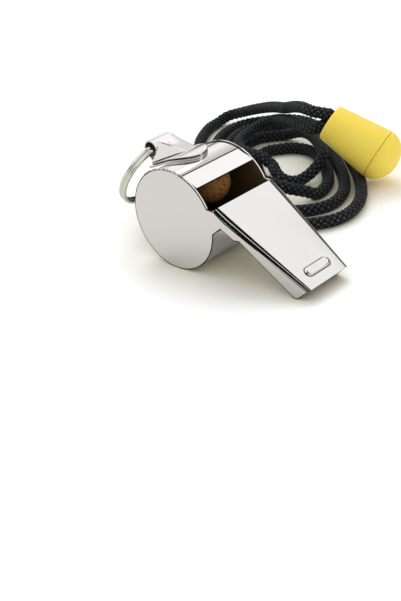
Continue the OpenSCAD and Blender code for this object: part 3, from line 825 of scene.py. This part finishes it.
def roundSheet(name, node, roundOff, material):
    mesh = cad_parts[node].data.copy()
    mesh.materials.clear()
    bm = bmesh.new()
    bm.from_mesh(mesh)
    bmesh.ops.remove_doubles(bm, verts=bm.verts, dist=2e-6)
    bmesh.ops.dissolve_limit(bm, angle_limit=math.radians(0.4), verts=bm.verts, edges=bm.edges)
    for face in bm.faces:
        face.smooth = True
    bm.to_mesh(mesh)
    bm.free()
    mesh.materials.append(material)
    piece = bpy.data.objects.new(name, mesh)
    scene.collection.objects.link(piece)
    bevel, weighted = addBevel(piece, roundOff, 2)
    bevel.use_clamp_overlap = True
    weighted.keep_sharp = False
    return settle(piece)


strap = {"inner": 11.25, "outer": 12.25, "half": 5.0, "front": 118.0, "leave": 145.0, "neck": 174.0,
         "crotch": 167.5, "gap": 0.04, "layer": 0.46, "eyeU": -15.765, "eyeV": 3.727, "eyeR": 1.95, "bore": 1.66,
         "eyeHalf": 3.1, "hookFrom": -97.9, "hookTo": -375, "corner": 24.1, "cornerEase": 0.1,
         # Rows of the upper layer, from the strap's outline inwards: how far, and how far below its face
         "upper": [(0.001, 0.14), (0.02, 0.07), (0.06, 0.02), (0.14, 0.0), (0.2, 0.0)],
         "turns": [117.6, 117.7, 117.9, 118.2, 118.6, 119.2, 120, 121, 122.5, 124.5, 127, 130, 133, 136, 139, 142,
                   145]}
# The folded top of the strap: its slope, its dent and the rows of each section as step and rise
fold = {"rise": 0.3738, "top": 5.554, "start": -16.448, "sag": 0.15, "sagFrom": -16.4, "sagLong": 7.5,
        "dent": 0.12, "dentAt": -13.5, "dentWide": 1.1, "sheet": 0.26, "step": 0.14,
        "flap": (0.03, 0.1, 0.3, 0.5, 0.7, 0.9, 0.97),
        "dents": ((0.14, 0.3), (0.4, 0.9), (0.7, 1.0), (1.1, 0.5), (1.6, 0.15), (2.1, 0.0)),
        "far": ((2.3, 0.0), (2.93, 0.0), (3.04, 0.04), (3.1, 0.15), (3.1, 0.35)),
        "crease": {"from": -15.0, "to": -12.5, "above": 5.9, "wide": 0.08, "off": 0.04}}
# Stations along the folded top: its edge as u and y, then the foot of its near flap as u, y and v
foldStops = [
    (-15.9, -1.93, -15.8, -2.05, 5.6), (-15.6, -1.85, -15.4, -2.2, 5.47), (-15.3, -1.77, -14.9, -2.45, 5.25),
    (-15.0, -1.69, -14.4, -2.8, 4.95), (-14.8, -1.62, -14.0, -3.3, 4.49), (-14.6, -1.55, -13.6, -4.0, 3.86),
    (-14.3, -1.45, -13.1, -4.8, 3.14), (-13.8, -1.25, -12.6, -4.1, 3.68), (-13.2, -1.05, -11.95, -3.05, 4.6),
    (-12.5, -0.95, -11.3, -2.55, 5.52), (-11.7, -0.85, -10.7, -2.05, 6.38), (-10.9, -0.75, -10.1, -1.35, 7.15),
    (-10.2, -0.6, -9.65, -0.8, 7.62), (-9.5, -0.3, -9.3, -0.5, 8.0), (-8.95, 0.0, -8.9, -0.2, 8.35)]


def onTangent(radius, degrees):
    reach = radius / math.cos(math.radians(max(degrees - strap["leave"], 0)))
    return onCircle(reach, degrees)


def strapSection(degrees, profile):
    swing = min(degrees, strap["leave"]) - strap["front"]
    corner = strap["half"] + strap["cornerEase"]
    reach = strap["outer"] * math.sin(math.radians(max(strap["corner"] - swing, 0.0)))
    depths, radii = zip(*profile)
    shape = []
    for deep, radius in profile:  # each row keeps its distance from the rounded outline
        if corner - deep > reach:
            shape.append((min(strap["half"] - deep, math.sqrt((corner - deep) ** 2 - reach ** 2)), radius))
        else:
            shape.append((0.0, float(np.interp(corner - reach, depths, radii))))
    shape = [(max(y, 0.01), r) for y, r in shape]
    rows = []
    for y, r in [(-y, r) for y, r in shape] + shape[::-1]:
        u, v = onTangent(r, degrees)
        rows.append((u, y, v))
    return rows


def foldSection(u, edgeY, footU, footY, footV):
    sag = fold["sag"] * math.sin(math.pi * min(max((u - fold["sagFrom"]) / fold["sagLong"], 0), 1))
    topV = fold["top"] + fold["rise"] * (u - fold["start"]) - sag
    dent = fold["dent"] * math.exp(-((u - fold["dentAt"]) / fold["dentWide"]) ** 2)
    under = footV - fold["sheet"]
    rows = [(footU, footY + 0.6, under), (footU, footY, under), (footU, footY, footV)]
    foot, edge = np.array([footU, footY, footV]), np.array([u, edgeY, topV])
    rows += [tuple(foot + (edge - foot) * t) for t in fold["flap"]]
    rows += [(u, edgeY + step, topV - dent * deep) for step, deep in fold["dents"]]
    rows += [(u, y, topV - drop) for y, drop in fold["far"]]
    return rows


def addBail():
    bm = bmesh.new()
    s, crease = strap, fold["crease"]
    low, split = s["inner"] + hair, s["outer"] - s["layer"]
    under, over = split - s["gap"], split + s["gap"]
    plain = [(0.0, low), (0.001, under), (0.3, under)]
    cap = [(0.0, over)] + [(deep, s["outer"] - drop) for deep, drop in s["upper"]]
    # painted shade: the upper layer's side faces take the near-black edge look, a dark line under the flap's edge;
    # the lower layer's side faces take dull solder
    for profile, end, slot in ((plain, s["neck"], slots["solder"]), (cap, s["crotch"], slots["edge"])):
        turns = s["turns"] + list(np.linspace(s["leave"], end, 9)[1:])
        addLoft(bm, [strapSection(turn, profile) for turn in turns], marked=(0, 2 * len(profile) - 2), slot=slot)
    # painted shade: the flap's foot takes the near-black edge look, the dark slit under it
    addLoft(bm, [foldSection(*stop) for stop in smoothLine(foldStops, fold["step"])], marked=(1,))
    # painted shade: faces along the crease take the near-black edge look, a dark line in the dent
    edgeU, edgeY = zip(*[stop[:2] for stop in foldStops])
    for face in bm.faces:
        spot = face.calc_center_median()
        aside = abs(spot.y - crease["off"] - np.interp(spot.x, edgeU, edgeY))
        if crease["from"] < spot.x < crease["to"] and spot.z > crease["above"] and aside < crease["wide"]:
            face.material_index = slots["edge"]
    centre = (s["eyeU"], s["eyeV"])
    hook = [onTangent(low, s["neck"])] + arc(s["eyeR"], s["hookFrom"], s["hookTo"], 40, centre)
    hook += arc(s["bore"], s["hookTo"], s["hookFrom"], 40, centre) + [onTangent(under, 172.5)]
    addSlab(bm, hook, -s["eyeHalf"], s["eyeHalf"])

    # painted shade: the eye's bore and the flap's underside take the dark inner look
    def isInShade(middlePoint, normal):
        reach = math.hypot(middlePoint.x - s["eyeU"], middlePoint.z - s["eyeV"])
        isUnder = normal.z < -0.3 and middlePoint.x > -15.2 and -4.9 < middlePoint.y < 3
        return reach < s["bore"] + 0.05 and abs(normal.y) < 0.5 or isUnder
    return finishSheet("strapBail", bm, nickelBail, isInShade=isInShade)


solder = {"Beads": 15, "Bead Size": 0.24 * mm, "Seed": 4, "from": 152.0, "to": 108.0,
          "proud": 0.03, "smallest": (0.6, 0.6, 0.6), "largest": (1.9, 1.0, 1.1)}


def buildBeadTree():
    tree, given, output = addTree("solderBeads", [
        ("Beads", "Int"), ("Bead Size", "Float"), ("Seed", "Int"), ("Material", "Material")])
    line = addNode(tree, "GeometryNodeMeshToCurve", {"Mesh": given.outputs["Geometry"]})
    spots = addNode(tree, "GeometryNodeCurveToPoints", {"Curve": line.outputs[0],
                                                        "Count": given.outputs["Beads"]})
    bead = addNode(tree, "GeometryNodeMeshIcoSphere", {"Radius": given.outputs["Bead Size"],
                                                       "Subdivisions": 2})
    chance = addNode(tree, "FunctionNodeRandomValue", {"Seed": given.outputs["Seed"], 0: solder["smallest"],
                                                       1: solder["largest"]}, data_type="FLOAT_VECTOR")
    placed = addNode(tree, "GeometryNodeInstanceOnPoints", {
        "Points": spots.outputs[0], "Instance": bead.outputs[0], "Rotation": spots.outputs["Rotation"],
        "Scale": chance.outputs[0]})
    finishTree(tree, placed.outputs[0], output, given.outputs["Material"])
    return tree


def addSolder():
    line = [onBody(u, -drum["half"] + hair, v)
            for u, v in arc(drum["radius"] + solder["proud"], solder["from"], solder["to"], 30)]
    values = dict(solder, Material=nickelBail)
    return grow("rimSolder", lineMesh("solderLine", line), buildBeadTree(), values)


rimSolder = addSolder()

sheetPieces = {
    "side_plate_left": addSidePlate("leftPlate", 1),
    "side_plate_right": addSidePlate("rightPlate", -1),
    "drum_band": addDrumWrap(),
    "mouthpiece_cover": addMouthCover(),
    "windway_floor": roundSheet("airFloor", "windway_floor", edges["fine"], nickelSheet),
    "bail": addBail(),
}
print("sheet metal folded")

# Split ring: one wire, two turns, with its jog
ring = {"x": -15.2533, "z": 16.145, "radius": 8.5, "wire": 1.0, "stack": 0.95, "back": 30.0, "jog": 26.0,
        "jogAt": 150.0, "points": 260, "sides": 16}


def buildWireTree():
    tree, given, output = addTree("wireOnLine", [
        ("Wire Diameter", "Float"), ("Sides", "Int"), ("Material", "Material")])
    line = addNode(tree, "GeometryNodeMeshToCurve", {"Mesh": given.outputs["Geometry"]})
    radius = calc(tree, "DIVIDE", given.outputs["Wire Diameter"], 2.0)
    profile = addNode(tree, "GeometryNodeCurvePrimitiveCircle",
                      {"Resolution": given.outputs["Sides"], "Radius": radius})
    tube = addNode(tree, "GeometryNodeCurveToMesh", {"Curve": line.outputs[0],
                                                     "Profile Curve": profile.outputs[0], "Fill Caps": True})
    shaded = addNode(tree, "GeometryNodeSetShadeSmooth", {"Geometry": tube.outputs[0]})
    finishTree(tree, shaded.outputs[0], output, given.outputs["Material"])
    return tree


wireTree = buildWireTree()


def addRing():
    back = math.radians(ring["back"])
    hang = np.array([-math.sin(back), 0, -math.cos(back)])
    side = np.array([0.0, 1.0, 0.0])
    facing = np.cross(hang, side)
    centre = np.array([ring["x"], 0, ring["z"]])
    path = []
    for i in range(ring["points"] + 1):
        angle = ring["jog"] / 2 + (720 - ring["jog"]) * i / ring["points"]
        share = min(max((angle - 360 + ring["jog"] / 2) / ring["jog"], 0), 1)
        layer = ring["stack"] * (share * share * (3 - 2 * share) - 0.5)
        turn = math.radians(angle + ring["jogAt"])
        path.append(place(centre + ring["radius"] * (math.cos(turn) * hang + math.sin(turn) * side)
                          + layer * facing))
    values = {"Wire Diameter": ring["wire"] * mm, "Sides": ring["sides"], "Material": ringSteel}
    return grow("keyRing", lineMesh("ringLine", path), wireTree, values)


keyRing = addRing()

# Cork pea
pea = {"d": 10.0, "orbit": 5.45, "deg": 76.0, "across": 1.1, "pits": 0.35, "pitSize": 900.0, "pitDetail": 3.0}


def buildPeaTree():
    tree, given, output = addTree("corkBall", [
        ("Radius", "Float"), ("Pit Depth", "Float"), ("Pit Size", "Float"), ("Material", "Material")])
    ball = addNode(tree, "GeometryNodeMeshIcoSphere", {"Radius": given.outputs["Radius"], "Subdivisions": 6})
    noise = addNode(tree, "ShaderNodeTexNoise", {"Scale": given.outputs["Pit Size"], "Detail": pea["pitDetail"]})
    depth = calc(tree, "MULTIPLY", noise.outputs["Fac"], given.outputs["Pit Depth"])
    pit = calc(tree, "MULTIPLY", depth, -1.0)
    normal = addNode(tree, "GeometryNodeInputNormal")
    push = addNode(tree, "ShaderNodeVectorMath", {0: normal.outputs[0]}, operation="SCALE")
    tree.links.new(pit, push.inputs["Scale"])
    pitted = addNode(tree, "GeometryNodeSetPosition", {"Geometry": ball.outputs[0],
                                                       "Offset": push.outputs[0]})
    shaded = addNode(tree, "GeometryNodeSetShadeSmooth", {"Geometry": pitted.outputs[0]})
    finishTree(tree, shaded.outputs[0], output, given.outputs["Material"])
    return tree


def addPea():
    turn = math.radians(pea["deg"])
    spot = place((pea["orbit"] * math.cos(turn), pea["across"], drumHeight + pea["orbit"] * math.sin(turn)))
    values = {"Radius": pea["d"] / 2 * mm, "Pit Depth": pea["pits"] * mm, "Pit Size": pea["pitSize"],
              "Material": corkGrain}
    ball = grow("corkBall", bpy.data.meshes.new("corkSeed"), buildPeaTree(), values)
    ball.data.transform(Matrix.Translation(spot))
    return ball


corkBall = addPea()
print("ring and pea made")

# What moves with what
for node, piece in sheetPieces.items():
    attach(piece, "whistle")
    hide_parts(node)
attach(rimSolder, "whistle")
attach(keyRing, "ring")
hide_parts("split_ring")
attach(corkBall, "pea")
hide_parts("cork_pea")
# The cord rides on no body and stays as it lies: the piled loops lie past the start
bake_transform(lanyard)
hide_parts("lanyard_arc", "lanyard_loops", "lanyard_end")
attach(hiddenKnot, "whistle")
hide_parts("cord_knot")
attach(cordEndShell, "whistle")
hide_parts("cord_end_bell")
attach(cordEndDome, "lid")
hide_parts("cord_end_lid")
print("pieces ride on their bodies")

# Stage: floor, lamps and the room that the metal mirrors
stage = {"floor": (1.0, 1.0, 1.0, 1), "shaded": (0.77, 0.72, 0.5, 1), "mirrored": (0.675, 0.665, 0.63, 1),
         "half": 3.0, "nearness": 0.016, "rough": 0.9, "gloss": 0.1, "room": 0.86}
lamps = [
    {"name": "keyLamp", "spot": (-0.35, 0.25, 0.6), "size": 0.5, "power": 1.9},
    {"name": "fillLamp", "spot": (0.5, -0.3, 0.5), "size": 0.4, "power": 0.5},
]
# Tones that only mirrored rays see, by the direction's z, x and y
mirrorRoom = {
    "byHeight": [(0.0, 0.12), (0.1, 0.25), (0.2, 0.8), (0.3, 1.0)],
    "bySide": [(0.1, 1.1), (0.2, 1.05), (0.245, 0.85), (0.295, 0.72), (0.345, 0.52), (0.395, 0.4), (0.4, 1.12),
               (0.49, 1.12), (0.53, 1.0), (0.8, 1.0), (0.9, 0.7)],
    "byDepth": [(0.0, 0.006), (0.455, 0.006), (0.465, 0.95), (0.535, 0.95), (0.545, 0.006), (0.7, 0.006),
                (0.71, 1.0), (0.85, 1.0), (0.86, 0.1), (1.0, 0.1)],
    "byRise": [(0.0, 0.3), (0.15, 0.5), (0.5, 0.85), (1.0, 0.95)],
    "behindFrom": 0.705, "behindTo": 0.855,
    # A dark strip whose bends the rolled shoulders mirror: its place along the mouthpiece's own direction
    "mouthWay": (0.837, 0.0, -0.548), "strip": -0.02, "stripHalf": 0.32,
    "leftTone": 0.9, "leftSide": 0.36, "leftDepth": 0.7,
}


def addRamp(tree, factor, stops):
    ramp = addNode(tree, "ShaderNodeValToRGB", {"Fac": factor})
    elements = ramp.color_ramp.elements
    while len(elements) < len(stops):
        elements.new(1.0)
    for element, (spot, tone) in zip(elements, stops):
        element.position = spot
        element.color = (tone, tone, tone, 1)
    return ramp.outputs["Color"]


def addFloor():
    mesh = bpy.data.meshes.new("floor")
    half = stage["half"]
    mesh.from_pydata([(-half, -half, 0), (half, -half, 0), (half, half, 0), (-half, half, 0)], [], [(0, 1, 2, 3)])
    floor = bpy.data.objects.new("floor", mesh)
    scene.collection.objects.link(floor)
    material, tree, shader = addMaterial("floorPaper")
    nearness = addNode(tree, "ShaderNodeAmbientOcclusion", {"Distance": stage["nearness"]}, samples=8)
    paper = addMix(tree, nearness.outputs["AO"], stage["shaded"], stage["floor"])
    rays = addNode(tree, "ShaderNodeLightPath")
    tree.links.new(addMix(tree, rays.outputs["Is Glossy Ray"], paper, stage["mirrored"]),
                   shader.inputs["Base Color"])
    shader.inputs["Roughness"].default_value = stage["rough"]
    shader.inputs["Specular IOR Level"].default_value = stage["gloss"]
    mesh.materials.append(material)


def addLamp(name, spot, size, power):
    lamp = bpy.data.objects.new(name, bpy.data.lights.new(name, "AREA"))
    scene.collection.objects.link(lamp)
    turn = Vector(spot).to_track_quat("Z", "Y").to_matrix().to_4x4()
    lamp.matrix_world = Matrix.Translation(Vector(spot)) @ turn
    lamp.data.shape = "DISK"
    lamp.data.size = size
    lamp.data.energy = power
    lamp.visible_glossy = False


def addRoom(look):
    world = bpy.data.worlds.new("room")
    scene.world = world
    world.use_nodes = True
    tree = world.node_tree
    background = tree.nodes["Background"]
    coordinates = addNode(tree, "ShaderNodeTexCoord")
    way = addNode(tree, "ShaderNodeSeparateXYZ", {"Vector": coordinates.outputs["Generated"]})
    byHeight = addRamp(tree, way.outputs[2], look["byHeight"])
    sideways = calc(tree, "ADD", calc(tree, "MULTIPLY", way.outputs[0], 0.5), 0.5)
    bySide = addRamp(tree, sideways, look["bySide"])
    depth = calc(tree, "ADD", calc(tree, "MULTIPLY", way.outputs[1], 0.5), 0.5)
    byDepth = addRamp(tree, depth, look["byDepth"])
    isBehind = calc(tree, "MULTIPLY", calc(tree, "GREATER_THAN", depth, look["behindFrom"]),
                    calc(tree, "LESS_THAN", depth, look["behindTo"]))
    behind = calc(tree, "MULTIPLY", byHeight, bySide)
    along = addNode(tree, "ShaderNodeVectorMath", {0: coordinates.outputs["Generated"],
                                                   1: look["mouthWay"]}, operation="DOT_PRODUCT")
    offStrip = calc(tree, "ABSOLUTE", calc(tree, "SUBTRACT", along.outputs["Value"], look["strip"]))
    isStrip = calc(tree, "LESS_THAN", offStrip, look["stripHalf"])
    byRise = addRamp(tree, way.outputs[2], look["byRise"])
    isLeft = calc(tree, "MULTIPLY", calc(tree, "LESS_THAN", sideways, look["leftSide"]),
                  calc(tree, "LESS_THAN", depth, look["leftDepth"]))
    leftTone = (look["leftTone"], look["leftTone"], look["leftTone"], 1)
    front = addMix(tree, isLeft, addMix(tree, isStrip, byRise, byDepth), leftTone)
    mirrored = addMix(tree, isBehind, front, behind)
    plain = (stage["room"], stage["room"], stage["room"], 1)
    rays = addNode(tree, "ShaderNodeLightPath")
    tree.links.new(addMix(tree, rays.outputs["Is Glossy Ray"], plain, mirrored), background.inputs["Color"])


# Small white cards that only the metal sees, each on the line that its part of the bail mirrors
cards = [
    {"name": "rampCard", "aim": (-12.7, 0.9, 6.9), "way": (-0.36, 0.61, 0.7), "far": 40, "radius": 5.2,
     "tone": 1.25},
    {"name": "flapCard", "aim": (-13.4, -2.8, 4.9), "way": (0.1, -0.72, 0.68), "far": 30, "radius": 18,
     "tone": 0.9},
]


def addCard(name, spot, aim, size, tone):
    bpy.ops.mesh.primitive_circle_add(vertices=32, radius=size, fill_type="NGON")
    card = bpy.context.object
    card.name = name
    turn = (Vector(aim) - Vector(spot)).to_track_quat("Z", "Y").to_matrix().to_4x4()
    card.data.transform(Matrix.Translation(Vector(spot)) @ turn)
    material, tree, shader = addMaterial("cardPaper")
    shader.inputs["Base Color"].default_value = (0, 0, 0, 1)
    shader.inputs["Emission Color"].default_value = (1, 1, 1, 1)
    shader.inputs["Emission Strength"].default_value = tone
    card.data.materials.append(material)
    card.visible_camera = card.visible_diffuse = card.visible_shadow = card.visible_transmission = False


scene.view_settings.view_transform = "Standard"
addFloor()
for card in cards:
    aim = Vector(onBody(*card["aim"]))
    addCard(card["name"], aim + Vector(card["way"]) * card["far"] * mm, aim, card["radius"] * mm, card["tone"])
addRoom(mirrorRoom)
for lamp in lamps:
    addLamp(**lamp)
print("stage set")
